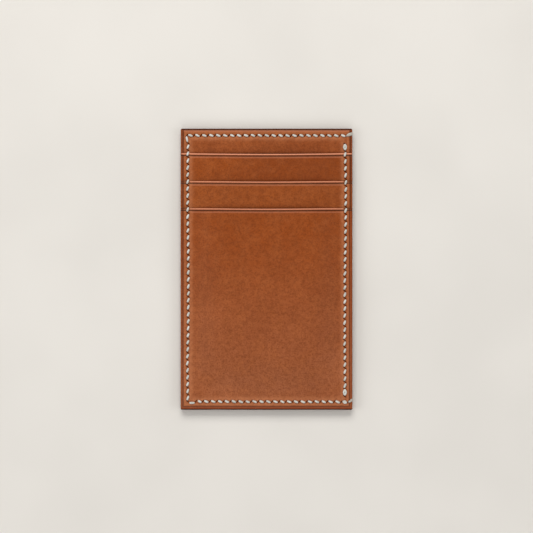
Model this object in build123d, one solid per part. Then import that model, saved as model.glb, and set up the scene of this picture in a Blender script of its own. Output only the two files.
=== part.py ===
from build123d import *
from collections import namedtuple
import math
import os

# A slim leather card holder, lying on its back: X across, Y up the holder, Z out of the front.
# Three card slots open towards +Y. A central pocket, between the front and the back
# assemblies, opens towards +X. All lengths are in millimetres.

# ---- Outline ----
WIDTH = 69.0
HEIGHT = 113.0
CORNER_RADIUS = 0.6
TOP_EDGE = HEIGHT / 2
BOTTOM_EDGE = -HEIGHT / 2
SIDE_EDGE = WIDTH / 2

# ---- Leather thicknesses ----
BACK_LEATHER = 0.8
LINING_LEATHER = 0.65
BACKING_LEATHER = 0.5
POCKET_LEATHER = 0.65
TAIL_LEATHER = 0.35             # a slot pocket is skived thinner below the next mouth

# ---- Card slots: each takes a 54.0 x 85.6 x 0.76 card, upright ----
SLOT_GAP = 0.8
SLOT_DEPTH = 77.7               # from a mouth to the seam that the card stands on
UPPER_MOUTH = TOP_EDGE - 9.95
MIDDLE_MOUTH = TOP_EDGE - 21.1
FRONT_MOUTH = TOP_EDGE - 32.0
TAIL_HALF_WIDTH = 29.0
TAIL_SEAM_ALLOWANCE = 2.5       # leather left below a slot pocket's bottom seam
WINDOW_BASE = 30.3              # half width where the pockets leave the flat margins
WINDOW_CROWN = 27.3             # half width of the part that stands at full height
FOOT_CLEARANCE = 0.9            # from a bottom seam to where the pocket starts to rise

# ---- Levels of the layers, from the back face up ----
LINING_LEVEL = BACK_LEATHER
POCKET_LEVEL = LINING_LEVEL + LINING_LEATHER
BACKING_LEVEL = POCKET_LEVEL + LINING_LEATHER
BASE_LEVEL = BACKING_LEVEL + BACKING_LEATHER
MARGIN_LEVEL = BASE_LEVEL + POCKET_LEATHER
UPPER_LIFT = SLOT_GAP
MIDDLE_LIFT = UPPER_LIFT + TAIL_LEATHER + SLOT_GAP
FRONT_LIFT = MIDDLE_LIFT + TAIL_LEATHER + SLOT_GAP

# ---- Seams ----
THREAD_RADIUS = 0.27
FINE_THREAD_RADIUS = 0.14
CLEARANCE = 0.02
SLIT_ROOM = 0.08                # room round the threads at the ends of an awl slit
SEAM_X = SIDE_EDGE - 3.0
TOP_SEAM_Y = TOP_EDGE - 2.9
BOTTOM_SEAM_Y = BOTTOM_EDGE + 3.4
ROW_END_X = SEAM_X + 0.5        # the top and bottom rows run on past the side seam
ROW_STITCHES = 23
COLUMN_STITCHES = 38
MOUTH_SEAM_TOP = TOP_EDGE - 6.2
MOUTH_SEAM_BOTTOM = BOTTOM_EDGE + 5.5
MOUTH_STITCHES = 36
TAIL_SEAM_HALF = 26.0
TAIL_STITCHES = 19
UPPER_TAIL_SEAM_Y = UPPER_MOUTH - SLOT_DEPTH
MIDDLE_TAIL_SEAM_Y = MIDDLE_MOUTH - SLOT_DEPTH
SLIT_ALONG = 0.12               # half of an awl slit, along the seam
SLIT_ACROSS = 0.36              # half of an awl slit, across the seam
FINE_SLIT_SCALE = 0.55
WRAP_HOLE_X = ROW_END_X + 0.8   # the end stitch that goes round the edge starts here
WRAP_RISE = 0.9                 # how far that stitch climbs on its way to the edge

Hole = namedtuple("Hole", "spot reach top")
Seam = namedtuple("Seam", "holes loops bottom radius grooved_top")


# ---- Leather ----

def slab(half_width, low_y, high_y, low_z, high_z):
    """A plain block between the given limits, centred on X."""
    size = (2 * half_width, high_y - low_y, high_z - low_z)
    return Pos(0, low_y, low_z) * Box(*size, align=(Align.CENTER, Align.MIN, Align.MIN))


def outline(low_z, high_z):
    """The holder's outer shape, between two levels."""
    face = Pos(0, 0, low_z) * RectangleRounded(WIDTH, HEIGHT, CORNER_RADIUS)
    return extrude(face, high_z - low_z)


def mound(flat, lift, foot):
    """Everything under a surface that rises by lift from its flat margins to its window."""
    crown = flat + lift
    across = Polygon(
        (-WINDOW_BASE, flat), (-WINDOW_CROWN, crown),
        (WINDOW_CROWN, crown), (WINDOW_BASE, flat), align=None)
    along = Polygon(
        (foot, flat), (foot + lift, crown), (HEIGHT, crown), (HEIGHT, flat), align=None)
    rise = extrude(Plane.XZ * across, HEIGHT, both=True) & extrude(Plane.YZ * along, WIDTH, both=True)
    return slab(WIDTH, -HEIGHT, HEIGHT, 0, flat) + rise


def raised_sheet(thickness, lift, foot):
    """A sheet lying on the slot backing, with its window raised over the slot."""
    return mound(BASE_LEVEL + thickness, lift, foot) - mound(BASE_LEVEL, lift, foot)


def slot_pocket(mouth, next_mouth, lift):
    """A T-shaped pocket: arms as wide as the holder, and a skived tail under the next pocket."""
    seam_y = mouth - SLOT_DEPTH
    foot = seam_y + FOOT_CLEARANCE
    top_level = MARGIN_LEVEL + lift
    arms = raised_sheet(POCKET_LEATHER, lift, foot) & slab(
        SIDE_EDGE, next_mouth, mouth, BASE_LEVEL, top_level)
    tail = raised_sheet(TAIL_LEATHER, lift, foot) & slab(
        TAIL_HALF_WIDTH, seam_y - TAIL_SEAM_ALLOWANCE, next_mouth, BASE_LEVEL, top_level)
    return arms + tail


def front_panel():
    """The large front pocket, from the third mouth down to the bottom edge."""
    foot = BOTTOM_SEAM_Y + FOOT_CLEARANCE
    sheet = raised_sheet(POCKET_LEATHER, FRONT_LIFT, foot)
    top_level = MARGIN_LEVEL + FRONT_LIFT
    return sheet & slab(SIDE_EDGE, BOTTOM_EDGE, FRONT_MOUTH, BASE_LEVEL, top_level) & outline(
        BASE_LEVEL, top_level)


# ---- Seams ----

def front_level(y):
    """Level of the flat margin that a seam lies on."""
    return BASE_LEVEL if y > UPPER_MOUTH else MARGIN_LEVEL


def spaced(start, end, stitches):
    """Evenly spaced spots from start to end."""
    first = Vector(*start)
    pitch = (Vector(*end) - first) / stitches
    return [first + pitch * i for i in range(stitches + 1)]


def punched(spots, level, scale=1.0):
    """Awl slits at the spots, each slanted across the seam that comes into it."""
    holes = []
    for i, spot in enumerate(spots):
        before = spots[max(i - 1, 0)]
        after = spots[max(i, 1)]
        along = (after - before).normalized()
        across = Vector(-along.Y, along.X)
        reach = (along * SLIT_ALONG + across * SLIT_ACROSS) * scale
        holes.append(Hole(spot, reach, level(spot.Y)))
    return holes


def at_level(spot, level):
    return Vector(spot.X, spot.Y, level)


def buried_level(seam):
    """Level of the stitches' centre line behind, flush with the leather's back."""
    return seam.bottom + seam.radius + CLEARANCE


def stitch_ends(seam, index, on_front):
    """Both ends of the centre line of one stitch."""
    hole = seam.holes[index]
    following = seam.holes[index + 1]
    if on_front:
        return (at_level(hole.spot + hole.reach, hole.top),
                at_level(following.spot - following.reach, following.top))
    return (at_level(hole.spot - hole.reach, buried_level(seam)),
            at_level(following.spot + following.reach, buried_level(seam)))


def tube(points, radius):
    """A thread of round section along the points, bent sharply where it enters the leather."""
    path = Polyline(*points)
    section = Plane(origin=path @ 0, z_dir=path % 0) * Circle(radius)
    return sweep(section, path=path, transition=Transition.RIGHT)


def strand(seam, front_first):
    """One of the two needles' threads, in front and behind by turns."""
    points = []
    for i in range(len(seam.holes) - 1):
        points += stitch_ends(seam, i, (i % 2 == 0) == front_first)
    middle = (buried_level(seam) + seam.holes[0].top) / 2
    points.insert(0, at_level(points[0], middle))
    points.append(at_level(points[-1], middle))
    return tube(points, seam.radius)


def loop_corners(seam, loop):
    """Corners of an end stitch that goes round the leather once."""
    first, second = loop
    return (at_level(first, front_level(first.Y)), at_level(second, front_level(second.Y)),
            at_level(second, buried_level(seam)), at_level(first, buried_level(seam)))


def end_loop(seam, loop):
    """The end stitch: its two thread ends meet inside its first hole."""
    corners = loop_corners(seam, loop)
    middle = (corners[0].Z + corners[3].Z) / 2
    gap = Vector(0, 0, CLEARANCE)
    centre = at_level(loop[0], middle)
    return tube([centre + gap, *corners, centre - gap], seam.radius)


def threads(seam):
    """Every thread of a seam, as separate solids."""
    pieces = [strand(seam, True), strand(seam, False)]
    pieces += [end_loop(seam, loop) for loop in seam.loops]
    return Compound([piece.solid() for piece in pieces])


# ---- Cutters for the seams ----

def groove(start, end, radius, outward):
    """The channel that a stitch is pulled into, open on its outward side."""
    along = end - start
    side = Vector(0, 0, outward).cross(along)
    plane = Plane(origin=start, x_dir=along, z_dir=along.cross(side))
    wall = radius + CLEARANCE
    depth = wall + 2 * POCKET_LEATHER
    block = Box(along.length, 2 * wall, depth, align=(Align.MIN, Align.CENTER, Align.MIN))
    return plane * Pos(0, 0, -wall) * block


def slit(hole, seam):
    """One slanted awl slit through the seam's own layers."""
    wall = seam.radius + 2 * CLEARANCE
    length = 2 * (hole.reach.length + seam.radius + SLIT_ROOM)
    angle = math.degrees(math.atan2(hole.reach.Y, hole.reach.X))
    depth = hole.top - seam.bottom + seam.radius
    block = Box(length, 2 * wall, depth, align=(Align.CENTER, Align.CENTER, Align.MIN))
    return Pos(hole.spot.X, hole.spot.Y, seam.bottom) * Rot(0, 0, angle) * block


def loop_cutters(seam, loop):
    """Holes, edge notch and grooves for an end stitch."""
    front_first, front_second, back_second, back_first = loop_corners(seam, loop)
    wall = seam.radius + 2 * CLEARANCE
    cutters = [groove(front_first, front_second, seam.radius, 1),
               groove(back_first, back_second, seam.radius, -1)]
    for spot in (back_first, back_second):
        height = front_first.Z - seam.bottom + seam.radius
        square = Box(2 * wall, 2 * wall, height, align=(Align.CENTER, Align.CENTER, Align.MIN))
        cutters.append(Pos(spot.X, spot.Y, seam.bottom) * square)
    return cutters


def seam_cutters(seam):
    """All the slits and grooves that a seam makes in the leather."""
    cutters = [slit(hole, seam) for hole in seam.holes]
    for i in range(len(seam.holes) - 1):
        cutters.append(groove(*stitch_ends(seam, i, False), seam.radius, -1))
        if seam.grooved_top:
            cutters.append(groove(*stitch_ends(seam, i, True), seam.radius, 1))
    for loop in seam.loops:
        cutters += loop_cutters(seam, loop)
    return cutters


def sewn(leather, *seams):
    """The leather with the slits and grooves of its seams."""
    box = leather.bounding_box()
    cutters = []
    for seam in seams:
        for cutter in seam_cutters(seam):
            reach = cutter.bounding_box()
            apart = (reach.max.Y < box.min.Y or reach.min.Y > box.max.Y
                     or reach.max.Z <= box.min.Z or reach.min.Z >= box.max.Z)
            if not apart:
                cutters.append(cutter)
    return leather - cutters


# ---- The seams' courses ----

def edge_wrap(row_y):
    """From the last hole of a row, over the mouth edge of the central pocket."""
    return (Vector(WRAP_HOLE_X, row_y), Vector(SIDE_EDGE - THREAD_RADIUS, row_y + WRAP_RISE))


def perimeter():
    """Top row from right to left, down the left side, and the bottom row to the right."""
    top = spaced((ROW_END_X, TOP_SEAM_Y), (-SEAM_X, TOP_SEAM_Y), ROW_STITCHES)
    side = spaced((-SEAM_X, TOP_SEAM_Y), (-SEAM_X, BOTTOM_SEAM_Y), COLUMN_STITCHES)
    bottom = spaced((-SEAM_X, BOTTOM_SEAM_Y), (ROW_END_X, BOTTOM_SEAM_Y), ROW_STITCHES)
    holes = punched(top + side[1:] + bottom[1:], front_level)
    wraps = [edge_wrap(TOP_SEAM_Y), edge_wrap(BOTTOM_SEAM_Y)]
    return Seam(holes, wraps, 0, THREAD_RADIUS, True)


def mouth_seam(bottom, level):
    """A seam beside the central pocket's mouth, through the front or the back layers only."""
    spots = spaced((SEAM_X, MOUTH_SEAM_TOP), (SEAM_X, MOUTH_SEAM_BOTTOM), MOUTH_STITCHES)
    return Seam(punched(spots, level), [], bottom, THREAD_RADIUS, True)


def tail_seam(seam_y):
    """The fine seam that closes the bottom of a slot."""
    spots = spaced((-TAIL_SEAM_HALF, seam_y), (TAIL_SEAM_HALF, seam_y), TAIL_STITCHES)
    top = BASE_LEVEL + TAIL_LEATHER + FINE_THREAD_RADIUS + CLEARANCE
    holes = punched(spots, lambda y: top, FINE_SLIT_SCALE)
    return Seam(holes, [], BACKING_LEVEL, FINE_THREAD_RADIUS, False)


def main():
    perimeter_course = perimeter()
    slot_side_course = mouth_seam(POCKET_LEVEL, front_level)
    back_top = POCKET_LEVEL - THREAD_RADIUS - CLEARANCE
    back_mouth_course = mouth_seam(0, lambda y: back_top)
    upper_tail_course = tail_seam(UPPER_TAIL_SEAM_Y)
    middle_tail_course = tail_seam(MIDDLE_TAIL_SEAM_Y)

    back_panel = outline(0, LINING_LEVEL)
    back_lining = outline(LINING_LEVEL, POCKET_LEVEL)
    front_lining = outline(POCKET_LEVEL, BACKING_LEVEL)
    slot_backing = outline(BACKING_LEVEL, BASE_LEVEL)
    upper_pocket = slot_pocket(UPPER_MOUTH, MIDDLE_MOUTH, UPPER_LIFT)
    middle_pocket = slot_pocket(MIDDLE_MOUTH, FRONT_MOUTH, MIDDLE_LIFT)
    front = front_panel()

    nodes = {
        "back_panel": sewn(back_panel, perimeter_course, back_mouth_course),
        "back_lining": sewn(back_lining, perimeter_course, back_mouth_course),
        "front_lining": sewn(front_lining, perimeter_course, slot_side_course),
        "slot_backing": sewn(slot_backing, perimeter_course, slot_side_course,
                             upper_tail_course, middle_tail_course),
        "upper_slot_pocket": sewn(upper_pocket, perimeter_course, slot_side_course,
                                  upper_tail_course),
        "middle_slot_pocket": sewn(middle_pocket, perimeter_course, slot_side_course,
                                   middle_tail_course),
        "front_pocket": sewn(front, perimeter_course, slot_side_course),
        "perimeter_seam": threads(perimeter_course),
        "slot_side_seam": threads(slot_side_course),
        "back_mouth_seam": threads(back_mouth_course),
        "upper_slot_bottom_seam": threads(upper_tail_course),
        "middle_slot_bottom_seam": threads(middle_tail_course),
    }

    os.makedirs("parts", exist_ok=True)
    for name, shape in nodes.items():
        export_step(shape, f"parts/{name}.step")


main()
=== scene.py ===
import math
import random

import bpy
import numpy as np
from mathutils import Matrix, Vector


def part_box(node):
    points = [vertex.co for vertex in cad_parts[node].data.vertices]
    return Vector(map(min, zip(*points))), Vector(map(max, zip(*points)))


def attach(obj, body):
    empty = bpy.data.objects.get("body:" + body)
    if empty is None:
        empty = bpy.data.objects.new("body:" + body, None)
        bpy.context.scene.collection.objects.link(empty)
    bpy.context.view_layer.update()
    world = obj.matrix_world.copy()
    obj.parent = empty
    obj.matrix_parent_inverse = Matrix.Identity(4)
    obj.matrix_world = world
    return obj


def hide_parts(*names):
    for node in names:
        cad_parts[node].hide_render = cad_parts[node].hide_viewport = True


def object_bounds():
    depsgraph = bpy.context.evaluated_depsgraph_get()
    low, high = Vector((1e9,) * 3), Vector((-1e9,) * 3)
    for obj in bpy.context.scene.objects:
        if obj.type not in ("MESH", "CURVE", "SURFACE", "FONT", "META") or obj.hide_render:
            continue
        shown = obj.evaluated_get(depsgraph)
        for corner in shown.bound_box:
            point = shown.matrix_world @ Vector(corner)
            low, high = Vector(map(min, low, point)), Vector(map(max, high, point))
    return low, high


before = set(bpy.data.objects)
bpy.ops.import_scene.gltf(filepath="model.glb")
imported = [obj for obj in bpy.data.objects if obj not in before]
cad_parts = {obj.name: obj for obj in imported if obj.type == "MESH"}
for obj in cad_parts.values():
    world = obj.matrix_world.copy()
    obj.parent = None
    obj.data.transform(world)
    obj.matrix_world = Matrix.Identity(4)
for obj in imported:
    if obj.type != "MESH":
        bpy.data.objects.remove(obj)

# A slim leather card holder, seen from straight above. The pieces are modelled in millimetres
# in the frame's axes (X across, Y up the holder, Z out of the front) and scaled to metres.

MM = 0.001
CAD_BOX = [list(corner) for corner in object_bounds()]


def box_mm(node):
    """A node's lowest and highest corners in millimetres."""
    return [np.array(corner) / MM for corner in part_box(node)]


# ---- Places, from the frame ----
HALF_WIDTH = CAD_BOX[1][0] / MM
TOP = CAD_BOX[1][1] / MM
BOTTOM = CAD_BOX[0][1] / MM
LINING_LEVEL = box_mm("back_panel")[1][2]
POCKET_LEVEL = box_mm("back_lining")[1][2]
BACKING_LEVEL = box_mm("front_lining")[1][2]
BASE_LEVEL = box_mm("slot_backing")[1][2]
UPPER_MOUTH = box_mm("upper_slot_pocket")[1][1]
MIDDLE_MOUTH = box_mm("middle_slot_pocket")[1][1]
FRONT_MOUTH = box_mm("front_pocket")[1][1]
UPPER_TAIL_END = box_mm("upper_slot_pocket")[0][1]
MIDDLE_TAIL_END = box_mm("middle_slot_pocket")[0][1]

# ---- Leather ----
LEATHER = 0.65
SKIVED = 0.35
MARGIN_LEVEL = BASE_LEVEL + LEATHER
UPPER_LIFT = box_mm("upper_slot_pocket")[1][2] - MARGIN_LEVEL
MIDDLE_LIFT = box_mm("middle_slot_pocket")[1][2] - MARGIN_LEVEL
FRONT_LIFT = box_mm("front_pocket")[1][2] - MARGIN_LEVEL
TAIL_HALF_WIDTH = 29.0
CORNER_RADIUS = 0.6
EDGE_ROUND = 0.38               # rounding of the outer edges
LIP_ROUND = 0.26                # rounding of the slot mouths
WINDOW_BASE = 30.6              # half width where the pockets start to rise
SIDE_RUN = 15.0                 # over which they rise from the side seams
FOOT_RUN = 19.0                 # over which they rise from a bottom seam
FOOT_MARGIN = 0.5               # from a bottom seam to where that rise starts
MOUTH_DIP = 0.35                # how far the middle of a mouth edge sags
MOUTH_CREASE = 0.95             # from a mouth edge to its creased line
ROLL_OFFSET = 0.45              # from that line to the low roll of leather that it pushes up
ROLL_HEIGHT = 0.045
ROLL_WIDTH = 0.22
EDGE_CREASES = {"left": 1.0, "right": 1.2, "bottom": 1.35, "top": 0.55}
SLOT_CREASE_RIGHT = 0.85        # the slot layers are creased nearer their right edge
CREASE_DEPTH = 0.18
CREASE_WIDTH = 0.24
CREASE_SHADE = 0.7              # how dark the creased lines are
SLOT_CREASE_SHADE = 0.95        # and those at the sides of the slot layers
SIDE_STRIP = 0.55               # how dark the strips at the sides are, beside the bottom one
POCKET_GAP = 0.35               # how far the empty central pocket stands open at its mouth
OPENING_FROM = 14.0             # the x at which it starts to open
OPENING_RUN = 20.0              # over which it opens
BACKING_HIDDEN = UPPER_MOUTH - 2.0      # the slot backing doesn't show below this y
BACK_REST = 0.1                 # the back leather stands this far up, on its stitches
BACK_RELIEF = 0.9               # its marks are a little shallower than the front's
FLOOR_DROP = 0.1                # the floor lies this far down, clear of the wrapped stitches

# ---- Seams ----
SEAM_X = HALF_WIDTH - 3.0
TOP_SEAM_Y = TOP - 2.9
BOTTOM_SEAM_Y = BOTTOM + 3.4
TOP_ROW = ((SEAM_X + 0.75, TOP_SEAM_Y + 0.02), (-SEAM_X - 0.4, TOP_SEAM_Y + 0.1))
BOTTOM_ROW = ((-SEAM_X + 0.4, BOTTOM_SEAM_Y - 0.04), (SEAM_X + 1.25, BOTTOM_SEAM_Y - 0.19))
CORNER_SET = 0.3                # the left column's end holes lie this far off the rows' ends

# How far the hand-sewn columns stray from a straight line, from top to bottom.
LEFT_DRIFT = (0.43, 0.20, 0.14, 0.27, 0.27, 0.13, -0.26, -0.18)
RIGHT_DRIFT = (0.0, 0.25, 0.30, 0.06, -0.08, -0.13, -0.05, -0.03)
WANDER = 0.03                   # spread of a hole's small random error

ROW_STITCHES = 23
COLUMN_STITCHES = 38
MOUTH_SEAM_TOP = TOP - 6.2
MOUTH_SEAM_BOTTOM = BOTTOM + 5.5
MOUTH_STITCHES = 36
TAIL_SEAM_HALF = 26.0
TAIL_STITCHES = 19
TAIL_SEAM_ALLOWANCE = 2.5
TAIL_HOLE_SCALE = 0.3
TAIL_THREAD = (0.14, 0.12)      # half width and half height of the fine thread
TAIL_PROUD = 0.1
REACH_ALONG = 0.68              # from a hole's middle to where a stitch comes up
REACH_ACROSS = 0.27
SLIT_LEAN = math.radians(52)
SLIT_HALF_LENGTH = 0.74
SLIT_HALF_WIDTH = 0.19
SLIT_DEPTH = 0.55
SLIT_REACH = 2.0                # beyond this a slit leaves no mark
SEAM_BAND = 1.1                 # half width of the finely meshed band along a seam
BED_DEPTH = 0.10                # the stitches draw the leather in along the seam
BED_WIDTH = 0.75
THREAD_HALF_WIDTH = 0.45
THREAD_HALF_HEIGHT = 0.32
THREAD_PROUD = 0.19             # of the thread's centre line over the leather
BACK_LEVEL = 0.34               # of the back stitches' centre line, before it bows out
BACK_PROUD = 0.07
BACK_THIN = 0.8
INSIDE_SINK = 0.42              # the mouth seams' stitches inside the pocket lie sunk by this
INSIDE_PROUD = 0.05
INSIDE_THIN = 0.7

random.seed(7)


# ---- Small maths ----

def smooth(t):
    t = np.clip(t, 0.0, 1.0)
    return t * t * (3.0 - 2.0 * t)


def bell(distance, width):
    return np.exp(-(distance / width) ** 2)


def shoulder(t):
    """From 0 at a seam to 1 at the crown, a little steeper on the seam's side."""
    return smooth(np.clip(t, 0.0, 1.0) ** 0.8)


def window(x, y, foot):
    """From 0 on the sewn margins to 1 where a pocket stands at full height."""
    side = shoulder((WINDOW_BASE - np.abs(x)) / SIDE_RUN)
    return side * shoulder((y - foot) / FOOT_RUN)


def pocket_opening(x, y):
    """How far the front layers stand off the back ones, beside the central pocket's mouth."""
    along = np.clip((y - BOTTOM_SEAM_Y) / (TOP_SEAM_Y - BOTTOM_SEAM_Y), 0.0, 1.0)
    return POCKET_GAP * smooth((x - OPENING_FROM) / OPENING_RUN) * np.sin(math.pi * along) ** 0.6


def edge_distance(x, y):
    """Distance in from the nearest outer edge."""
    return np.minimum(HALF_WIDTH - np.abs(x), np.minimum(TOP - y, y - BOTTOM))


def rounding(distance, radius):
    """How far a rounded edge falls away."""
    inward = np.clip(1.0 - distance / radius, 0.0, 1.0)
    return radius * (1.0 - np.sqrt(1.0 - inward ** 2))


# ---- Stitch holes ----

class Hole:
    """An awl hole: its middle, where the stitch before goes down, where the next comes up."""

    def __init__(self, spot, reach, slit):
        self.spot = spot
        self.down = spot - reach
        self.up = spot + reach
        self.slit = slit


def spaced(start, end, stitches, drift=(0.0, 0.0)):
    """Evenly spaced spots from start to end, with a hand stitcher's drift and small errors."""
    first, last = Vector(start), Vector(end)
    sideways = Vector((abs(last.y - first.y), abs(last.x - first.x))).normalized()
    spots = []
    for i in range(stitches + 1):
        stray = np.interp(i / stitches * (len(drift) - 1), range(len(drift)), drift)
        wander = Vector((random.gauss(0, WANDER), random.gauss(0, WANDER)))
        spots.append(first.lerp(last, i / stitches) + sideways * stray + wander)
    return spots


def punched(spots, scale=1.0):
    """Slanted holes at the spots."""
    holes = []
    for i, spot in enumerate(spots):
        along = (spots[min(i + 1, len(spots) - 1)] - spots[max(i - 1, 0)]).normalized()
        across = Vector((-along.y, along.x))
        slit = along * math.cos(SLIT_LEAN) + across * math.sin(SLIT_LEAN)
        holes.append(Hole(spot, (along * REACH_ALONG + across * REACH_ACROSS) * scale, slit))
    return holes


def perimeter_holes():
    """Along the top, down the left side and along the bottom, with the corners as photographed."""
    top = punched(spaced(*TOP_ROW, ROW_STITCHES))
    side_top = (TOP_ROW[1][0], TOP_ROW[1][1] - CORNER_SET)
    side_end = (BOTTOM_ROW[0][0] - CORNER_SET, BOTTOM_ROW[0][1])
    side = punched(spaced(side_top, side_end, COLUMN_STITCHES, LEFT_DRIFT))
    bottom = punched(spaced(*BOTTOM_ROW, ROW_STITCHES))
    top[-1].up = top[-1].spot + Vector((-0.22, -0.45))
    side[-1].up = side[-1].spot + Vector((0.75, -0.55))
    bottom[1].down = bottom[1].spot + Vector((-0.60, -0.52))
    bottom[1].up = bottom[1].spot + Vector((0.95, REACH_ACROSS))
    return top + side[1:] + bottom[1:]


def mouth_holes():
    """Down the right side, for the seams beside the central pocket's mouth."""
    ends = (SEAM_X, MOUTH_SEAM_TOP), (SEAM_X, MOUTH_SEAM_BOTTOM)
    return punched(spaced(*ends, MOUTH_STITCHES, RIGHT_DRIFT))


def tail_holes(y):
    """Across the bottom of a slot, for its fine hidden seam."""
    spots = spaced((-TAIL_SEAM_HALF, y), (TAIL_SEAM_HALF, y), TAIL_STITCHES)
    return punched(spots, TAIL_HOLE_SCALE)


PERIMETER = perimeter_holes()
MOUTH_SIDE = mouth_holes()
ALL_HOLES = PERIMETER + MOUTH_SIDE


def hole_marks(x, y):
    """Depth of the awl slits, from 0 to 1, at every point."""
    depth = np.zeros_like(x)
    for hole in ALL_HOLES:
        spot, slit = hole.spot, hole.slit
        near = (np.abs(x - spot.x) < SLIT_REACH) & (np.abs(y - spot.y) < SLIT_REACH)
        if near.any():
            dx, dy = x[near] - spot.x, y[near] - spot.y
            lengthwise = (dx * slit.x + dy * slit.y) / SLIT_HALF_LENGTH
            sideways = (dy * slit.x - dx * slit.y) / SLIT_HALF_WIDTH
            depth[near] = np.maximum(depth[near], np.exp(-lengthwise ** 4 - sideways ** 2))
    return depth


def seam_distance(x, y):
    """Signed distance from the rectangle of the stitch lines, positive inside it."""
    return np.minimum(SEAM_X - np.abs(x), np.minimum(TOP_SEAM_Y - y, y - BOTTOM_SEAM_Y))


def from_creases(x, y, right):
    """Distances in from each side's creased line, negative outside it."""
    return [x + HALF_WIDTH - EDGE_CREASES["left"], HALF_WIDTH - x - right,
            y - BOTTOM - EDGE_CREASES["bottom"], TOP - y - EDGE_CREASES["top"]]


def crease_marks(x, y, right=EDGE_CREASES["right"]):
    """The creased line just inside the outer edges."""
    return bell(np.min(from_creases(x, y, right), axis=0), CREASE_WIDTH)


# ---- Meshes ----

SPLIT = 5                       # a grid cell on a seam is divided into SPLIT x SPLIT
SAMPLES = 600                   # points at which the spacing between two stops is worked out
SHARP_ANGLE = math.radians(55)


def grid_lines(stops, hot, coarse, fine, slope=0.22):
    """Lines through every stop, closer together near the hot places."""
    lines = [stops[0]]
    for low, high in zip(stops, stops[1:]):
        at = np.linspace(low, high, SAMPLES)
        distance = np.min([np.abs(at - place) for place in hot], axis=0)
        spacing = np.minimum(coarse, fine + slope * distance)
        count = np.concatenate([[0.0], np.cumsum((high - low) / (SAMPLES - 1) / spacing[:-1])])
        steps = max(1, round(count[-1]))
        lines += list(np.interp(np.linspace(0, count[-1], steps + 1)[1:], count, at))
    return np.array(lines)


def lattice(lines):
    """The grid lines with every cell divided by SPLIT."""
    parts = [np.linspace(a, b, SPLIT, endpoint=False) for a, b in zip(lines, lines[1:])]
    return np.concatenate(parts + [[lines[-1]]])


def walk(used, i, j):
    """Corners of one grid cell, with the lattice points that its neighbours need on its sides."""
    a, b = i * SPLIT, j * SPLIT
    ring = [(a + k, b) for k in range(SPLIT)]
    ring += [(a + SPLIT, b + k) for k in range(SPLIT)]
    ring += [(a + SPLIT - k, b + SPLIT) for k in range(SPLIT)]
    ring += [(a, b + SPLIT - k) for k in range(SPLIT)]
    return [p for p in ring if used[p]]


def shell_faces(keep, fine):
    """Faces of a sheet over the kept cells, finer where asked, and its directed border."""
    cells = [tuple(c) for c in np.argwhere(keep)]
    used = np.zeros((keep.shape[0] * SPLIT + 1, keep.shape[1] * SPLIT + 1), bool)
    for i, j in cells:
        a, b = i * SPLIT, j * SPLIT
        step = 1 if fine[i, j] else SPLIT
        used[a:a + SPLIT + 1:step, b:b + SPLIT + 1:step] = True
    faces = []
    for i, j in cells:
        if fine[i, j]:
            for a in range(i * SPLIT, (i + 1) * SPLIT):
                for b in range(j * SPLIT, (j + 1) * SPLIT):
                    faces.append([(a, b), (a + 1, b), (a + 1, b + 1), (a, b + 1)])
        else:
            faces.append(walk(used, i, j))
    edges = {(f[k - 1], f[k]) for f in faces for k in range(len(f))}
    border = [e for e in edges if (e[1], e[0]) not in edges]
    return faces, sorted(border)


def hidden_faces(keep, border):
    """Coarse faces of the sheet's other side, which meet the same border points."""
    used = np.zeros((keep.shape[0] * SPLIT + 1, keep.shape[1] * SPLIT + 1), bool)
    cells = [tuple(c) for c in np.argwhere(keep)]
    for i, j in cells:
        used[i * SPLIT:(i + 1) * SPLIT + 1:SPLIT, j * SPLIT:(j + 1) * SPLIT + 1:SPLIT] = True
    for start, end in border:
        used[start] = True
        used[end] = True
    return [walk(used, i, j) for i, j in cells]


def rounded_corner(x, y):
    """Moves the points near the holder's four corners onto a rounded outline."""
    side = np.sign(x)
    end = np.where(y > 0, 1.0, -1.0)
    centre_x = side * HALF_WIDTH - side * CORNER_RADIUS
    centre_y = np.where(y > 0, TOP, BOTTOM) - end * CORNER_RADIUS
    u = (x - centre_x) / CORNER_RADIUS * side
    v = (y - centre_y) / CORNER_RADIUS * end
    inside = (u > 0) & (v > 0)
    new_x = centre_x + side * CORNER_RADIUS * u * np.sqrt(np.clip(1 - v * v / 2, 0, 1))
    new_y = centre_y + end * CORNER_RADIUS * v * np.sqrt(np.clip(1 - u * u / 2, 0, 1))
    return np.where(inside, new_x, x), np.where(inside, new_y, y)


def add_mesh(name, points_mm, polygons):
    """A smooth-shaded mesh object from points in millimetres."""
    mesh = bpy.data.meshes.new(name)
    mesh.from_pydata((np.asarray(points_mm) * MM).tolist(), [], polygons)
    mesh.polygons.foreach_set("use_smooth", [True] * len(mesh.polygons))
    mesh.update()
    piece = bpy.data.objects.new(name, mesh)
    bpy.context.scene.collection.objects.link(piece)
    return piece


def everywhere(x, y):
    return np.ones(x.shape, bool)


def nowhere(x, y):
    return np.zeros(x.shape, bool)


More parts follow.
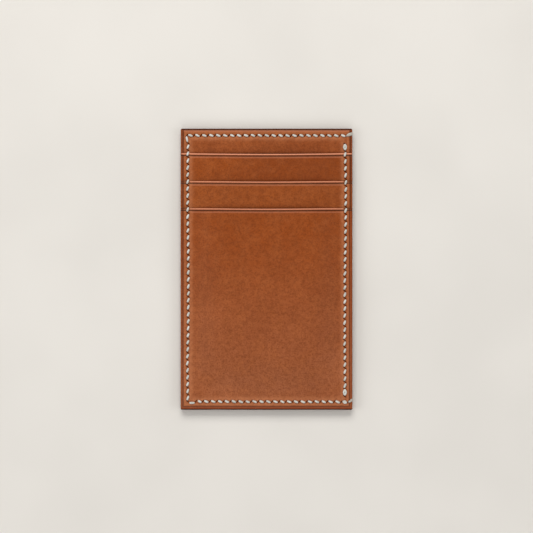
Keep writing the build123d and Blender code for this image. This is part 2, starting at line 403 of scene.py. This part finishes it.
def panel(name, lines, keep, fine, shown, hidden, masks, bend=None, facing=1):
    """A closed leather panel between its shown and hidden surfaces, with painted masks."""
    xs, ys = lines
    mid_x, mid_y = (xs[1:] + xs[:-1]) / 2, (ys[1:] + ys[:-1]) / 2
    cell_x, cell_y = np.meshgrid(mid_x, mid_y, indexing="ij")
    kept = keep(cell_x, cell_y)
    faces, border = shell_faces(kept, fine(cell_x, cell_y) & kept)
    under = hidden_faces(kept, border)
    fine_x, fine_y = lattice(xs), lattice(ys)

    points, numbers = [], {}
    for level, group in enumerate((faces, under)):
        for face in group:
            for p in face:
                if (level, p) not in numbers:
                    numbers[level, p] = len(points)
                    points.append((fine_x[p[0]], fine_y[p[1]], level))
    points = np.array(points)
    flat_x, flat_y, level = points.T
    z = np.where(level == 0, shown(flat_x, flat_y), hidden(flat_x, flat_y))
    x, y = rounded_corner(flat_x, flat_y)
    if bend is not None:
        y = y + bend(flat_x, flat_y)

    polygons = [[numbers[0, p] for p in face] for face in faces]
    polygons += [[numbers[1, p] for p in reversed(face)] for face in under]
    polygons += [[numbers[0, b], numbers[0, a], numbers[1, a], numbers[1, b]] for a, b in border]
    if facing < 0:
        polygons = [polygon[::-1] for polygon in polygons]
    piece = add_mesh(name, np.stack([x, y, z], axis=1), polygons)
    for mask, values in masks(flat_x, flat_y).items():
        layer = piece.data.attributes.new(mask, "FLOAT", "POINT")
        layer.data.foreach_set("value", np.clip(values, 0, 1).astype(np.float32))
    piece.data.set_sharp_from_angle(angle=SHARP_ANGLE)
    return piece


# ---- Materials ----

WAX_TINT = (1.0, 0.85, 0.68, 1.0)   # of the waxed leather's gloss


def linear(*srgb):
    """An sRGB colour, from 0 to 255, as the shader's linear colour."""
    values = [c / 255 for c in srgb]
    return [c / 12.92 if c <= 0.04045 else ((c + 0.055) / 1.055) ** 2.4 for c in values] + [1.0]


class Shader:
    """A material's node tree, with short names for the nodes that the leather and thread use."""

    def __init__(self, name):
        self.material = bpy.data.materials.new(name)
        self.material.use_nodes = True
        self.tree = self.material.node_tree
        self.surface = self.tree.nodes["Principled BSDF"]
        self.place = self.add("ShaderNodeTexCoord").outputs["Object"]

    def add(self, kind, **settings):
        node = self.tree.nodes.new(kind)
        for key, value in settings.items():
            setattr(node, key, value)
        return node

    def join(self, source, target):
        if isinstance(source, (int, float, list, tuple)):
            target.default_value = source
        else:
            self.tree.links.new(source, target)

    def noise(self, size_mm, detail=3.0, roughness=0.5, offset=(0, 0, 0)):
        moved = self.add("ShaderNodeVectorMath", operation="ADD")
        self.join(self.place, moved.inputs[0])
        moved.inputs[1].default_value = offset
        node = self.add("ShaderNodeTexNoise")
        self.join(moved.outputs[0], node.inputs["Vector"])
        node.inputs["Scale"].default_value = 1 / (size_mm * MM)
        node.inputs["Detail"].default_value = detail
        node.inputs["Roughness"].default_value = roughness
        return node.outputs["Fac"]

    def cells(self, size_mm):
        node = self.add("ShaderNodeTexVoronoi", feature="F1")
        self.join(self.place, node.inputs["Vector"])
        node.inputs["Scale"].default_value = 1 / (size_mm * MM)
        return node.outputs["Distance"]

    def spread(self, value, low, high, to_low=0.0, to_high=1.0):
        node = self.add("ShaderNodeMapRange", interpolation_type="SMOOTHSTEP")
        self.join(value, node.inputs["Value"])
        limits = {"From Min": low, "From Max": high, "To Min": to_low, "To Max": to_high}
        for key, number in limits.items():
            node.inputs[key].default_value = number
        return node.outputs["Result"]

    def combine(self, operation, a, b):
        node = self.add("ShaderNodeMath", operation=operation)
        self.join(a, node.inputs[0])
        self.join(b, node.inputs[1])
        return node.outputs[0]

    def plus(self, a, b):
        return self.combine("ADD", a, b)

    def times(self, a, b):
        return self.combine("MULTIPLY", a, b)

    def mask(self, name):
        return self.add("ShaderNodeAttribute", attribute_name=name).outputs["Fac"]

    def mix(self, factor, first, second):
        node = self.add("ShaderNodeMix", data_type="RGBA", blend_type="MIX")
        self.join(factor, node.inputs[0])
        self.join(first, node.inputs[6])
        self.join(second, node.inputs[7])
        return node.outputs[2]

    def tint(self, colour, where, amount, tone):
        """Mixes in an sRGB tone, up to the amount given, where the value says."""
        return self.mix(self.times(where, amount), colour, linear(*tone))

    def axis(self, index):
        node = self.add("ShaderNodeSeparateXYZ")
        self.join(self.place, node.inputs[0])
        return node.outputs[index]

    def bump(self, height, distance_mm, strength=1.0, below=None):
        node = self.add("ShaderNodeBump")
        node.inputs["Distance"].default_value = distance_mm * MM
        node.inputs["Strength"].default_value = strength
        self.join(height, node.inputs["Height"])
        if below is not None:
            self.join(below, node.inputs["Normal"])
        return node.outputs["Normal"]


def tan_leather(name, upper, lower, seed=0.0, painted_shade_right=0.08):
    """Smooth waxed calf: mottled, with fine pores, pale by the seams and dark painted edges."""
    s = Shader(name)
    offset = (seed, seed * 0.7, 0)

    # the colour, from broad clouds down to pores
    # paler and pinker towards the bottom: a painted sheen
    along = s.spread(s.axis(1), BOTTOM * MM, FRONT_MOUTH * MM)
    colour = s.mix(along, linear(*lower), linear(*upper))
    clouds = s.spread(s.noise(17, 3, 0.55, offset), 0.3, 0.7)
    colour = s.tint(colour, clouds, 0.34, (122, 58, 27))
    patches = s.spread(s.noise(4.2, 4, 0.6, offset), 0.35, 0.75)
    colour = s.tint(colour, patches, 0.24, (184, 106, 58))
    mottle = s.spread(s.noise(1.5, 3, 0.6, offset), 0.42, 0.62)
    colour = s.tint(colour, mottle, 0.22, (98, 42, 12))
    flecks = s.spread(s.noise(0.6, 3, 0.7, offset), 0.45, 0.65)
    colour = s.tint(colour, flecks, 0.42, (100, 44, 16))
    pores = s.spread(s.cells(0.42), 0.0, 0.22, 1.0, 0.0)
    colour = s.tint(colour, pores, 0.14, (88, 38, 18))
    # darker towards the right side: painted shade
    across = s.spread(s.axis(0), -HALF_WIDTH * MM, HALF_WIDTH * MM, 0.0, painted_shade_right)
    colour = s.mix(across, colour, linear(112, 48, 18))

    # the marks of wear and work, with painted shade and painted highlights, where the panel's
    # masks say
    streaks = s.spread(s.noise(1.4, 3, 0.6, offset), 0.3, 0.7, 0.55, 1.0)
    pale = s.times(s.mask("pale"), streaks)
    colour = s.tint(colour, pale, 0.55, (192, 122, 82))
    colour = s.tint(colour, s.mask("strip"), 0.7, (130, 56, 24))
    # creases are dark; the dark mask also holds painted shade in the awl slits and just above each
    # next mouth
    colour = s.tint(colour, s.mask("dark"), 0.88, (54, 19, 6))
    # the lip mask: a raw pale lip, with painted highlights beside the creases
    colour = s.mix(s.mask("lip"), colour, linear(222, 147, 114))
    colour = s.mix(s.mask("paint"), colour, linear(60, 24, 13))
    s.join(colour, s.surface.inputs["Base Color"])

    # a waxed gloss, and a fine grain with pores and soft unevenness
    rough = s.spread(s.noise(2.2, 4, 0.6, offset), 0.3, 0.7, 0.36, 0.50)
    rough = s.plus(rough, s.times(s.mask("paint"), -0.10))
    s.join(rough, s.surface.inputs["Roughness"])
    s.surface.inputs["Specular IOR Level"].default_value = 0.20
    s.surface.inputs["Specular Tint"].default_value = WAX_TINT
    grain = s.bump(s.noise(0.30, 3, 0.6, offset), 0.028)
    grain = s.bump(s.times(pores, -1.0), 0.022, 1.0, grain)
    s.join(s.bump(s.noise(2.6, 3, 0.5, offset), 0.06, 1.0, grain), s.surface.inputs["Normal"])
    return s.material


def lining_leather():
    """Thin matt lining leather with a faint nap."""
    s = Shader("lining_leather")
    colour = s.mix(s.spread(s.noise(9, 3), 0.3, 0.7), linear(158, 98, 62), linear(140, 82, 50))
    colour = s.tint(colour, s.spread(s.noise(0.5, 3, 0.7), 0.4, 0.8), 0.25, (104, 58, 34))
    colour = s.mix(s.mask("paint"), colour, linear(98, 38, 20))
    s.join(colour, s.surface.inputs["Base Color"])
    s.join(s.spread(s.noise(1.2, 3), 0.3, 0.7, 0.62, 0.78), s.surface.inputs["Roughness"])
    s.join(s.bump(s.noise(0.25, 3, 0.6), 0.03), s.surface.inputs["Normal"])
    return s.material


def waxed_thread(name, light, shade):
    """Twisted, waxed thread: pale plies with a little grime and painted shade in their grooves,
    and fine fibres.
    """
    s = Shader(name)
    colour = s.mix(s.spread(s.noise(1.7, 3), 0.3, 0.7), linear(*light), linear(*shade))
    # darker in the grooves between the plies: a little grime and painted shade
    colour = s.tint(colour, s.mask("groove"), 0.6, (140, 122, 94))
    fibres = s.spread(s.noise(0.09, 3, 0.7), 0.4, 0.7)
    colour = s.tint(colour, fibres, 0.12, (150, 146, 136))
    s.join(colour, s.surface.inputs["Base Color"])
    s.join(s.spread(s.noise(0.5, 2), 0.3, 0.7, 0.5, 0.68), s.surface.inputs["Roughness"])
    s.surface.inputs["Sheen Weight"].default_value = 0.15
    s.join(s.bump(s.noise(0.07, 3, 0.6), 0.012), s.surface.inputs["Normal"])
    return s.material


def floor_material():
    """Pale matt paper."""
    s = Shader("floor_paper")
    shading = s.spread(s.noise(60, 2), 0.3, 0.7)
    colour = s.mix(shading, linear(226, 222, 216), linear(221, 217, 211))
    s.join(colour, s.surface.inputs["Base Color"])
    s.surface.inputs["Roughness"].default_value = 0.9
    return s.material


# ---- Leather panels ----

EDGE_LINES = [-HALF_WIDTH, -HALF_WIDTH + EDGE_CREASES["left"],
              HALF_WIDTH - EDGE_CREASES["right"], HALF_WIDTH]
COARSE = 0.62                   # the widest grid cells
BACK_COARSE = 0.82              # and those of the plain back
FINE = 0.07                     # the narrowest, at the edges and creases
LINING_COARSE = 2.0
LINING_FINE = 0.3


def x_lines(extra=(), coarse=COARSE):
    stops = sorted({-HALF_WIDTH, HALF_WIDTH, *extra})
    return grid_lines(stops, EDGE_LINES, coarse, FINE)


def y_lines(low, high, hot, extra=(), coarse=COARSE):
    return grid_lines(sorted({low, high, *extra}), hot, coarse, FINE)


def on_seam(x, y):
    """Cells near a stitch line."""
    column = np.abs(np.abs(x) - SEAM_X) < SEAM_BAND
    row = np.minimum(np.abs(y - TOP_SEAM_Y), np.abs(y - BOTTOM_SEAM_Y)) < SEAM_BAND
    return (column & (y < TOP_SEAM_Y) & (y > BOTTOM_SEAM_Y)) | row


def surface_marks(x, y, mouth=None, facing=1, right=EDGE_CREASES["right"]):
    """Relief of the seams, creases and rounded edges, to be added to a shown surface."""
    relief = -SLIT_DEPTH * hole_marks(x, y)
    relief = relief - BED_DEPTH * bell(seam_distance(x, y), BED_WIDTH)
    relief = relief - CREASE_DEPTH * crease_marks(x, y, right)
    relief = relief - rounding(edge_distance(x, y), EDGE_ROUND)
    if mouth is not None:
        relief = relief - rounding(mouth - y, LIP_ROUND)
        relief = relief - CREASE_DEPTH * bell(mouth - MOUTH_CREASE - y, CREASE_WIDTH)
        relief = relief + ROLL_HEIGHT * bell(mouth - MOUTH_CREASE - ROLL_OFFSET - y, ROLL_WIDTH)
    return relief * facing


def leather_masks(x, y, mouth=None, full_lip=False, next_mouth=None, right=EDGE_CREASES["right"]):
    """Where the leather is paler, darker, or painted, and where shade and highlights are painted.
    """
    seam = seam_distance(x, y)
    edge = edge_distance(x, y)
    creases = crease_marks(x, y, right)
    upright = np.minimum(TOP - y, y - BOTTOM) > edge + 0.1      # nearer a side than an end

    # pale where the stitches pull, in a wavering band inside the seam and a thin one outside it
    waves = np.sin(x * 0.9 + 1.3 * np.sin(y * 0.35)), np.sin(y * 0.8 + np.sin(x * 0.5))
    wander = 0.12 * waves[0] + 0.12 * waves[1]
    pale = bell(seam - 0.85 + wander, 0.95) + 0.9 * bell(seam + 1.2, 0.5)

    # dark outside the creases, painted at the edges, both more so at the ends than at the sides
    strip = smooth(0.5 - np.min(from_creases(x, y, right), axis=0) / 0.3)
    strip = strip * np.where(upright, SIDE_STRIP, 1.0)
    paint = np.where(upright, 0.35 * smooth((0.42 - edge) / 0.3), smooth((0.62 - edge) / 0.3))

    # dark in the creases, painted shade in the awl slits, and a faint painted highlight beside the
    # top crease
    on_slots = upright & (right == SLOT_CREASE_RIGHT)
    crease_shade = np.where(on_slots, SLOT_CREASE_SHADE, CREASE_SHADE)
    dark = np.maximum(crease_shade * creases, hole_marks(x, y))
    lip = 0.35 * bell(TOP - y - 1.05, 0.2) * (np.abs(x) < HALF_WIDTH - 1.3)
    if mouth is not None:
        # a raw pale lip between the side seams, then a dark crease with a faint painted highlight
        # under it
        below = mouth - y
        between = 1.0 if full_lip else smooth((SEAM_X - 0.35 - np.abs(x)) / 0.6)
        lip = (1.0 if full_lip else 0.82) * smooth((0.56 - below) / 0.2) * between * (edge > 0.3)
        lip = np.maximum(lip, 0.3 * bell(below - MOUTH_CREASE - 0.65, 0.2) * (seam > 0.9))
        dark = np.maximum(dark, bell(below - MOUTH_CREASE, 0.28))
        seam_mouth = (1.0 - between) * smooth((0.5 - below) / 0.3)
        dark = np.maximum(dark, 0.7 * seam_mouth)
    if next_mouth is not None:
        # painted shade just above the next mouth, where the lip's step shades the strip
        above = np.clip(y - next_mouth + 0.3, 0, None)
        painted_step_shade = 0.70 * np.exp(-above / 0.5) + 0.16 * np.exp(-above / 2.5)
        dark = np.maximum(dark, painted_step_shade * (edge > 0.9))
    return {"pale": pale * (1 - creases), "dark": dark, "strip": strip, "paint": paint, "lip": lip}


def mouth_sag(mouth):
    """How the edge of a mouth sags in the middle."""
    def bend(x, y):
        middle = np.cos(np.clip(x / (SEAM_X - 1), -1, 1) * math.pi / 2) ** 0.8
        return -MOUTH_DIP * middle * np.exp(-np.clip(mouth - y, 0, None) / 5.0)
    return bend


def raised(lift, foot):
    """A pocket's underside: on the slot backing at its margins, raised by lift in its window."""
    def surface(x, y):
        return BASE_LEVEL + lift * window(x, y, foot) + pocket_opening(x, y)
    return surface


def front_pocket():
    """The large front panel, from the third mouth to the bottom edge."""
    hot = [BOTTOM, BOTTOM + EDGE_CREASES["bottom"], FRONT_MOUTH, FRONT_MOUTH - MOUTH_CREASE]
    under = raised(FRONT_LIFT, BOTTOM_SEAM_Y + FOOT_MARGIN)
    return panel(
        "front_pocket_leather", (x_lines(), y_lines(BOTTOM, FRONT_MOUTH, hot)),
        everywhere, on_seam,
        lambda x, y: under(x, y) + LEATHER + surface_marks(x, y, FRONT_MOUTH), under,
        lambda x, y: leather_masks(x, y, FRONT_MOUTH), mouth_sag(FRONT_MOUTH))


def slot_pocket(name, mouth, next_mouth, tail_end, lift, full_lip):
    """A T-shaped pocket: full-width arms, and a skived tail under the next pocket."""
    hot = [mouth, mouth - MOUTH_CREASE]
    under = raised(lift, tail_end + TAIL_SEAM_ALLOWANCE + FOOT_MARGIN)

    def keep(x, y):
        return (y > next_mouth) | (np.abs(x) < TAIL_HALF_WIDTH)

    def shown(x, y):
        skive = smooth((next_mouth - y) / 2.0)
        thickness = LEATHER - (LEATHER - SKIVED) * skive
        relief = surface_marks(x, y, mouth, right=SLOT_CREASE_RIGHT) * (y >= next_mouth)
        return under(x, y) + thickness + relief

    def masks(x, y):
        return leather_masks(x, y, mouth, full_lip, next_mouth, SLOT_CREASE_RIGHT)

    lines = (x_lines((-TAIL_HALF_WIDTH, TAIL_HALF_WIDTH)),
             y_lines(tail_end, mouth, hot, (next_mouth, next_mouth - 1.5)))
    return panel(name, lines, keep, lambda x, y: on_seam(x, y) & (y > next_mouth),
                 shown, under, masks, mouth_sag(mouth))


def slot_backing():
    """The panel behind the slots, whose top strip shows above the first mouth."""
    hot = [TOP, TOP - EDGE_CREASES["top"]]

    def shown(x, y):
        relief = surface_marks(x, y, right=SLOT_CREASE_RIGHT)
        return BASE_LEVEL + pocket_opening(x, y) + np.where(y > BACKING_HIDDEN, relief, 0.0)

    return panel(
        "slot_backing_leather", (x_lines(), y_lines(BOTTOM, TOP, hot, (BACKING_HIDDEN,))),
        everywhere, lambda x, y: on_seam(x, y) & (y > BACKING_HIDDEN),
        shown, lambda x, y: BACKING_LEVEL + pocket_opening(x, y),
        lambda x, y: leather_masks(x, y, next_mouth=UPPER_MOUTH, right=SLOT_CREASE_RIGHT))


def lining(name, low, high, opened):
    """A thin lining between two levels."""
    def lift(x, y):
        return pocket_opening(x, y) if opened else 0.0

    width, height = [-HALF_WIDTH, HALF_WIDTH], [BOTTOM, TOP]
    lines = [grid_lines(ends, ends, LINING_COARSE, LINING_FINE) for ends in (width, height)]
    return panel(
        name, lines, everywhere, nowhere,
        lambda x, y: high + lift(x, y), lambda x, y: low + lift(x, y),
        lambda x, y: {"paint": smooth((0.3 - edge_distance(x, y)) / 0.2)})


def back_panel():
    """The plain back, whose shown side faces down."""
    hot = [BOTTOM, BOTTOM + EDGE_CREASES["bottom"], TOP, TOP - EDGE_CREASES["top"]]
    return panel(
        "back_panel_leather",
        (x_lines(coarse=BACK_COARSE), y_lines(BOTTOM, TOP, hot, coarse=BACK_COARSE)),
        everywhere, on_seam,
        lambda x, y: BACK_REST + surface_marks(x, y, facing=-1) * BACK_RELIEF,
        lambda x, y: LINING_LEVEL, leather_masks, facing=-1)


# ---- Threads ----

# Places along a stitch, and its height there as a share of how proud it stands.
STITCH_ARCH = [(0.05, -4.5), (0.0, -1.6), (0.07, 0.3), (0.27, 1.0), (0.5, 1.15),
               (0.73, 1.0), (0.93, 0.3), (1.0, -1.6), (0.95, -4.5)]
RING = 14
TWIST_LENGTH = 1.25             # of one turn of the thread's plies
PLIES = 3
PLY_DEPTH = 0.18
LEAST_PLUMP = 0.25              # a pinched end keeps this share of the thread's width
WRAP_INSET = 0.18               # a wrapped stitch's centre line lies this far in from the edge
WRAP_DARKENING = 0.65               # the wrapped end stitches are tinted darker than the rest


def front_level(x, y):
    """Level of the flat margin under a front stitch, a layer lower above the first mouth."""
    step = smooth((UPPER_MOUTH + 0.45 - y) / 0.7)
    return BASE_LEVEL + LEATHER * step + float(pocket_opening(x, y))


def smooth_path(points, per_span):
    """Points along a Catmull-Rom curve."""
    ends = [points[0] * 2 - points[1]] + points + [points[-1] * 2 - points[-2]]
    path = []
    for a, b, c, d in zip(ends, ends[1:], ends[2:], ends[3:]):
        for k in range(per_span):
            t = k / per_span
            path.append(0.5 * (2 * b + (c - a) * t + (2 * a - 5 * b + 4 * c - d) * t * t
                               + (3 * b - a - 3 * c + d) * t ** 3))
    return path + [points[-1]]


def twisted_tube(points, outward, half_width, half_height, pinch, per_span):
    """Points, faces and groove marks of a flattened tube of twisted plies, pinched at its ends."""
    path = smooth_path(points, per_span)
    start_turn = random.random() * math.tau
    verts, grooves, travelled = [], [], 0.0
    for i, at in enumerate(path):
        ahead = path[min(i + 1, len(path) - 1)]
        behind = path[max(i - 1, 0)]
        travelled += (at - behind).length if i else 0.0
        tangent = (ahead - behind).normalized()
        side = tangent.cross(outward(at)).normalized()
        swing = 2.0 * i / (len(path) - 1) - 1.0
        plump = max(LEAST_PLUMP, 1.0 - pinch[swing > 0] * swing ** 2)
        up = side.cross(tangent).normalized()
        for k in range(RING):
            turn = math.tau * k / RING
            twist = turn - math.tau * travelled / TWIST_LENGTH + start_turn
            groove = (1.0 - abs(math.sin(PLIES / 2 * twist))) ** 2.2
            radius = (1.0 - PLY_DEPTH * groove) * plump
            verts.append(at + side * (math.cos(turn) * half_width * radius)
                         + up * (math.sin(turn) * half_height * radius))
            grooves.append(groove)
    faces = []
    for i in range(len(path) - 1):
        for k in range(RING):
            a, b = i * RING + k, i * RING + (k + 1) % RING
            faces.append([a, a + RING, b + RING, b])
    last = (len(path) - 1) * RING
    faces.append(list(range(RING)))
    faces.append([last + k for k in range(RING)][::-1])
    return verts, faces, grooves


class Thread:
    """Gathers the stitches of one seam into one mesh."""

    def __init__(self, half_width=THREAD_HALF_WIDTH, half_height=THREAD_HALF_HEIGHT):
        self.verts, self.faces, self.grooves = [], [], []
        self.half_width, self.half_height = half_width, half_height

    def lay(self, points, outward, thinner=1.0, pinch=(0.0, 0.0), per_span=4):
        scale = thinner * random.uniform(0.95, 1.05)
        verts, faces, grooves = twisted_tube(
            points, outward, self.half_width * scale, self.half_height * scale, pinch, per_span)
        first = len(self.verts)
        self.verts += verts
        self.grooves += grooves
        self.faces += [[first + n for n in face] for face in faces]

    def stitch(self, start, end, level, facing, proud=THREAD_PROUD, thinner=1.0, bulge=0.0,
               pinch=(0.9, 0.7)):
        """One stitch from hole to hole, over the surface that level gives, bowed by bulge."""
        sideways = Vector((start.y - end.y, end.x - start.x)).normalized()
        points = []
        for t, height in STITCH_ARCH:
            spot = start.lerp(end, t) + sideways * bulge * math.sin(math.pi * t)
            ground = level(spot.x, spot.y)
            points.append(Vector((spot.x, spot.y, ground + facing * height * proud)))
        self.lay(points, lambda at: Vector((0.0, 0.0, facing)), thinner, pinch)

    def doubled(self, start, end, level, spread):
        """Two strands through the same holes, side by side."""
        for bulge in (-spread, spread):
            self.stitch(start, end, level, 1, thinner=0.84, bulge=bulge)

    def build(self, name, material):
        piece = add_mesh(name, [tuple(v) for v in self.verts], self.faces)
        layer = piece.data.attributes.new("groove", "FLOAT", "POINT")
        layer.data.foreach_set("value", np.array(self.grooves, dtype=np.float32))
        piece.data.materials.append(material)
        return piece


def back_level(x, y):
    """Level that a back stitch bows out from."""
    return BACK_LEVEL


def front_lining_level(x, y):
    """Level of the stitches on the central pocket's front wall."""
    return POCKET_LEVEL + INSIDE_SINK + float(pocket_opening(x, y))


def back_lining_level(x, y):
    """Level of the stitches on the central pocket's back wall."""
    return POCKET_LEVEL - INSIDE_SINK


def front_ends(holes, i):
    """Ends of the front stitch after hole i."""
    return holes[i].up, holes[i + 1].down


def back_ends(holes, i):
    """Ends of the back stitch after hole i, nearly in line with the seam."""
    a, b = holes[i].spot, holes[i + 1].spot
    return a.lerp(b, 0.17), a.lerp(b, 0.83)


def edge_wrap(thread, hole_x, row_y, rise, shift=0.0):
    """The end stitch over the right-hand edge, round to the back."""
    edge = HALF_WIDTH - WRAP_INSET
    top = front_level(hole_x, row_y)
    course = [
        # out of the hole and across the front
        (hole_x, row_y, top - 0.6),
        (hole_x + 0.1, row_y + 0.05, top + 0.05),
        (hole_x + 0.7, row_y + 0.5 * rise + shift, top + 0.2),
        (edge - 0.30, row_y + 0.85 * rise + shift, top + 0.12),
        # down the edge
        (edge, row_y + rise + shift, top - 0.35),
        (edge, row_y + rise + shift, top / 2),
        (edge, row_y + rise + shift, 0.65),
        # across the back and into the hole
        (edge - 0.32, row_y + 0.9 * rise + shift, 0.3),
        (hole_x + 0.7, row_y + 0.45 * rise + shift, 0.27),
        (hole_x + 0.1, row_y + 0.08, 0.32),
        (hole_x, row_y, 0.9)]
    middle = Vector((hole_x - 0.4, 0.0, top / 2))
    first = len(thread.grooves)
    thread.lay([Vector(point) for point in course],
               lambda at: Vector((at.x, 0.0, at.z)) - middle, 0.95, per_span=12)
    thread.grooves[first:] = [WRAP_DARKENING + 0.6 * groove for groove in thread.grooves[first:]]


def perimeter_thread(material):
    """The seam round three sides, with its end stitches wrapped over the right-hand edge."""
    thread = Thread()
    last = len(PERIMETER) - 2
    for i in range(last + 1):
        on_bottom = i >= ROW_STITCHES + COLUMN_STITCHES
        if i == last:
            thread.doubled(*front_ends(PERIMETER, i), front_level, 0.30)
        else:
            thread.stitch(*front_ends(PERIMETER, i), front_level, 1,
                          pinch=(0.6, 1.05) if on_bottom else (1.05, 0.6))
        thread.stitch(*back_ends(PERIMETER, i), back_level, -1, BACK_PROUD, BACK_THIN)
    for shift in (-0.22, 0.22):
        edge_wrap(thread, TOP_ROW[0][0] + 0.15, TOP_ROW[0][1] + 0.02, 0.72, shift)
    edge_wrap(thread, BOTTOM_ROW[1][0] + 0.45, BOTTOM_ROW[1][1] + 0.05, 0.8)
    return thread.build("perimeter_thread", material)


def slot_side_thread(material):
    """The seam through the front layers beside the mouth, doubled at both ends."""
    thread = Thread()
    last = len(MOUTH_SIDE) - 2
    for i in range(last + 1):
        if i in (0, last):
            a, b = MOUTH_SIDE[i].spot, MOUTH_SIDE[i + 1].spot
            thread.doubled(a.lerp(b, 0.03), a.lerp(b, 0.86), front_level, 0.43)
        else:
            thread.stitch(*front_ends(MOUTH_SIDE, i), front_level, 1)
        thread.stitch(*back_ends(MOUTH_SIDE, i), front_lining_level, -1, INSIDE_PROUD, INSIDE_THIN)
    return thread.build("slot_side_thread", material)


def back_mouth_thread(material):
    """The matching seam through the back layers."""
    thread = Thread()
    for i in range(len(MOUTH_SIDE) - 1):
        thread.stitch(*back_ends(MOUTH_SIDE, i), back_level, -1, BACK_PROUD, BACK_THIN)
        thread.stitch(*front_ends(MOUTH_SIDE, i), back_lining_level, 1, INSIDE_PROUD, INSIDE_THIN)
    return thread.build("back_mouth_thread", material)


def tail_thread(name, tail_end, material):
    """The fine hidden seam at the bottom of a slot."""
    thread = Thread(*TAIL_THREAD)
    holes = tail_holes(tail_end + TAIL_SEAM_ALLOWANCE)
    for i in range(len(holes) - 1):
        thread.stitch(*front_ends(holes, i), lambda x, y: BASE_LEVEL + SKIVED, 1, TAIL_PROUD)
    return thread.build(name, material)


# ---- The scene ----

FLOOR_HALF = 1.5                # half its width, in metres
LENS = 100.0
SENSOR = 36.0
FIELD = 213.95 * MM             # width of the view at the holder's margins
CENTRE_SHIFT = 1.06 * MM        # the view's centre lies a little above the holder's


def stage_floor():
    half, z = FLOOR_HALF, -FLOOR_DROP * MM
    mesh = bpy.data.meshes.new("floor")
    corners = [(-half, -half, z), (half, -half, z), (half, half, z), (-half, half, z)]
    mesh.from_pydata(corners, [], [(0, 1, 2, 3)])
    floor = bpy.data.objects.new("floor", mesh)
    bpy.context.scene.collection.objects.link(floor)
    mesh.materials.append(floor_material())


def add_light(name, place, target, size, power, colour=(1, 1, 1)):
    lamp = bpy.data.lights.new(name, "AREA")
    lamp.shape = "RECTANGLE"
    lamp.size, lamp.size_y = size
    lamp.energy = power
    lamp.color = colour
    light = bpy.data.objects.new(name, lamp)
    light.location = place
    light.rotation_euler = (Vector(target) - Vector(place)).to_track_quat("-Z", "Y").to_euler()
    bpy.context.scene.collection.objects.link(light)


def lighting():
    middle = (0, 0, 0)
    add_light("key_softbox", (-0.08, 0.75, 0.70), middle, (0.8, 0.5), 8.2, (1.0, 0.99, 0.97))
    add_light("side_left", (-0.85, -0.1, 0.55), middle, (0.7, 0.5), 3.1)
    add_light("side_right", (0.85, -0.1, 0.55), middle, (0.7, 0.5), 2.6)
    add_light("fill", (0.0, -0.85, 0.60), middle, (0.9, 0.5), 3.1)
    world = bpy.data.worlds.new("studio")
    world.use_nodes = True
    background = world.node_tree.nodes["Background"]
    background.inputs["Color"].default_value = (0.93, 0.91, 0.87, 1)
    background.inputs["Strength"].default_value = 0.19
    bpy.context.scene.world = world
    bpy.context.scene.view_settings.view_transform = "Standard"


def camera():
    data = bpy.data.cameras.new("camera")
    data.lens = LENS
    data.sensor_width = SENSOR
    data.clip_start = 0.01
    eye = bpy.data.objects.new("camera", data)
    distance = FIELD * LENS / SENSOR
    eye.location = (0, CENTRE_SHIFT, MARGIN_LEVEL * MM + distance)
    bpy.context.scene.collection.objects.link(eye)
    bpy.context.scene.camera = eye


def place(piece, nodes, slot, material=None):
    """Puts a piece in the model in the place of its CAD nodes."""
    if material is not None:
        piece.data.materials.append(material)
    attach(piece, "root")
    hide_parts(*nodes)


def main():
    camera()
    lighting()
    stage_floor()
    thread = waxed_thread("waxed_thread", (222, 224, 219), (196, 199, 193))
    fine_thread = waxed_thread("fine_thread", (178, 126, 88), (160, 108, 72))
    lining_material = lining_leather()
    # the front pocket's paler, pinker lower colour is a painted sheen
    place(front_pocket(), ["front_pocket"], "tan_leather",
          tan_leather("front_pocket_leather", (149, 71, 25), (170, 100, 64), 0.03))
    place(slot_pocket("middle_pocket_leather", MIDDLE_MOUTH, FRONT_MOUTH, MIDDLE_TAIL_END,
                      MIDDLE_LIFT, False), ["middle_slot_pocket"], "tan_leather",
          tan_leather("middle_pocket_leather", (158, 81, 34), (158, 81, 34), 0.21))
    # the upper pocket is given more painted shade towards its right
    place(slot_pocket("upper_pocket_leather", UPPER_MOUTH, MIDDLE_MOUTH, UPPER_TAIL_END,
                      UPPER_LIFT, True), ["upper_slot_pocket"], "tan_leather",
          tan_leather("upper_pocket_leather", (152, 74, 27), (152, 74, 27), 0.37, 0.4))
    place(slot_backing(), ["slot_backing"], "tan_leather",
          tan_leather("slot_backing_leather", (154, 80, 39), (154, 80, 39), 0.52))
    place(back_panel(), ["back_panel"], "tan_leather",
          tan_leather("back_panel_leather", (154, 82, 45), (156, 88, 54), 0.68))
    place(lining("front_lining_leather", POCKET_LEVEL, BACKING_LEVEL, True), ["front_lining"],
          "lining_leather", lining_material)
    place(lining("back_lining_leather", LINING_LEVEL, POCKET_LEVEL, False), ["back_lining"],
          "lining_leather", lining_material)
    place(perimeter_thread(thread), ["perimeter_seam"], "waxed_thread")
    place(slot_side_thread(thread), ["slot_side_seam"], "waxed_thread")
    place(back_mouth_thread(thread), ["back_mouth_seam"], "waxed_thread")
    place(tail_thread("upper_slot_bottom_thread", UPPER_TAIL_END, fine_thread),
          ["upper_slot_bottom_seam"], "fine_thread")
    place(tail_thread("middle_slot_bottom_thread", MIDDLE_TAIL_END, fine_thread),
          ["middle_slot_bottom_seam"], "fine_thread")


main()
